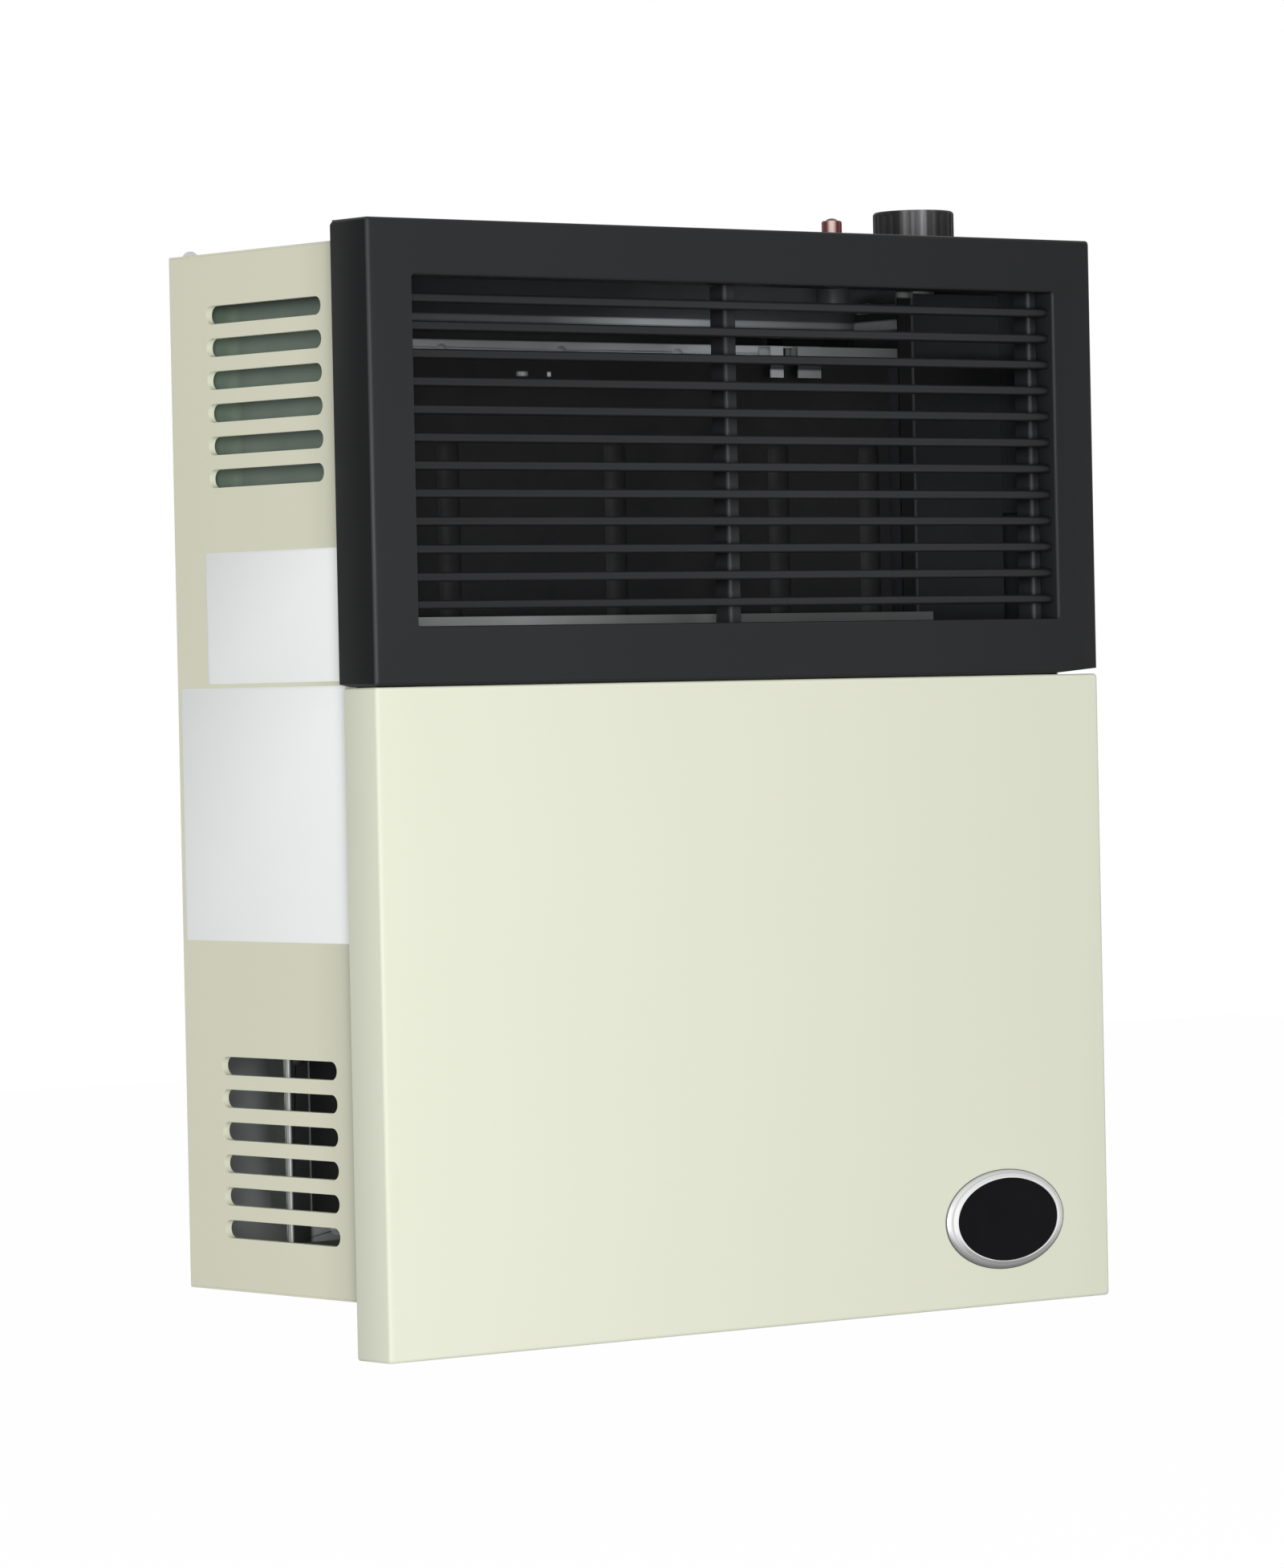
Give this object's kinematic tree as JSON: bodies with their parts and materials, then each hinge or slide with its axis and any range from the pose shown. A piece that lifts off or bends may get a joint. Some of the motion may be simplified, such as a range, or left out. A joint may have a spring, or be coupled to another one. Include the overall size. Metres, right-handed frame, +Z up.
{
  "type": "wall mounted gas heater",
  "caption": "Wall mounted gas heater: louvred cream cabinet, black grille bezel, sealed chamber with through-wall flue, push-turn valve knob and igniter button.",
  "frame": {"origin": "middle of the four wall bolts, on the face that meets the wall", "axes": "+X right as seen from the room, +Y into the wall along the vent, +Z up; the front faces -Y"},
  "size_m": [0.46, 0.213, 0.5575],
  "materials": {
    "cream_enamel": "smooth baked enamel, cream, satin",
    "side_enamel": "smooth baked enamel, darker cream, satin",
    "black_enamel": "fine black powder coat, satin",
    "chamber_black": "heat-resistant matt black paint",
    "galvanised": "galvanised sheet with a faint spangle",
    "zinc_plated": "bright zinc plate",
    "brass": "machined brass",
    "copper": "drawn copper",
    "pipe_aluminium": "drawn aluminium tube",
    "cast_aluminium": "die-cast aluminium",
    "knob_plastic": "moulded black plastic, satin",
    "black_plastic": "moulded black plastic",
    "red_plastic": "glossy red moulded plastic",
    "chrome_rim": "chromed plastic",
    "black_gloss": "glossy black inlay",
    "sticker": "blank satin sticker",
    "fibre_gasket": "pressed mineral fibre",
    "mica": "mica pane",
    "white_ceramic": "unglazed ceramic insulator"
  },
  "bodies": {
    "heater": {"back_plate": "galvanised", "left_side_panel": "side_enamel", "right_side_panel": "side_enamel", "top_panel": "side_enamel", "bottom_panel": "side_enamel", "cabinet_screws": "zinc_plated", "side_liners": "galvanised", "cover_rails": "zinc_plated", "front_panel": "cream_enamel", "grille_bezel": "black_enamel", "grille_slats": "black_enamel", "grille_bars": "black_enamel", "badge_rim": "chrome_rim", "badge_inlay": "black_gloss", "side_labels": "sticker", "heat_deflector": "galvanised", "radiation_shield": "galvanised", "valve_divider": "chamber_black", "control_screen": "chamber_black", "chamber_rear_shell": "galvanised", "chamber_front_shell": "chamber_black", "chamber_gasket": "fibre_gasket", "chamber_screws": "zinc_plated", "chamber_brackets": "zinc_plated", "chamber_clip": "galvanised", "air_duct": "galvanised", "flue_baffle": "galvanised", "air_collar": "galvanised", "air_collar_gasket": "fibre_gasket", "flue_collar": "galvanised", "sight_glass": "mica", "sight_frame": "zinc_plated", "burner_tube": "zinc_plated", "burner_supports": "zinc_plated", "burner_flange": "zinc_plated", "burner_injector": "brass", "pilot_bracket": "zinc_plated", "pilot_burner": "brass", "thermocouple": "copper", "spark_electrode": "white_ceramic", "ignition_lead": "black_plastic", "pilot_pipe": "pipe_aluminium", "burner_pipe": "pipe_aluminium", "inlet_pipe": "pipe_aluminium", "pipe_nuts": "brass", "gas_inlet_fitting": "brass", "inlet_bracket": "zinc_plated", "thermostat_bulb": "copper", "bulb_clips": "zinc_plated", "valve_body": "cast_aluminium", "valve_cover": "cast_aluminium", "valve_bracket": "zinc_plated", "spindle_spring": "zinc_plated", "igniter_body": "black_plastic", "igniter_nut": "black_plastic", "igniter_spring": "zinc_plated"},
    "valve_plunger": {"spindle_washer": "brass"},
    "knob": {"control_spindle": "zinc_plated", "control_knob": "knob_plastic"},
    "button": {"igniter_button": "red_plastic"}
  },
  "joints": [
    {"name": "knob_press", "type": "slide", "parent": "heater", "child": "valve_plunger", "axis": [0, 0, 1], "range_m": [-0.006, 0], "stiffness_N_per_m": 2000, "springref_m": 0.002, "deforming": ["spindle_spring"]},
    {"name": "knob_turn", "type": "hinge", "parent": "valve_plunger", "child": "knob", "pos_m": [0.18, -0.091, 0.26], "axis": [0, 0, 1], "range_deg": [0, 270]},
    {"name": "button_press", "type": "slide", "parent": "heater", "child": "button", "axis": [0, 0, 1], "range_m": [-0.006, 0], "stiffness_N_per_m": 900, "springref_m": 0.002, "deforming": ["igniter_spring"]}
  ]
}
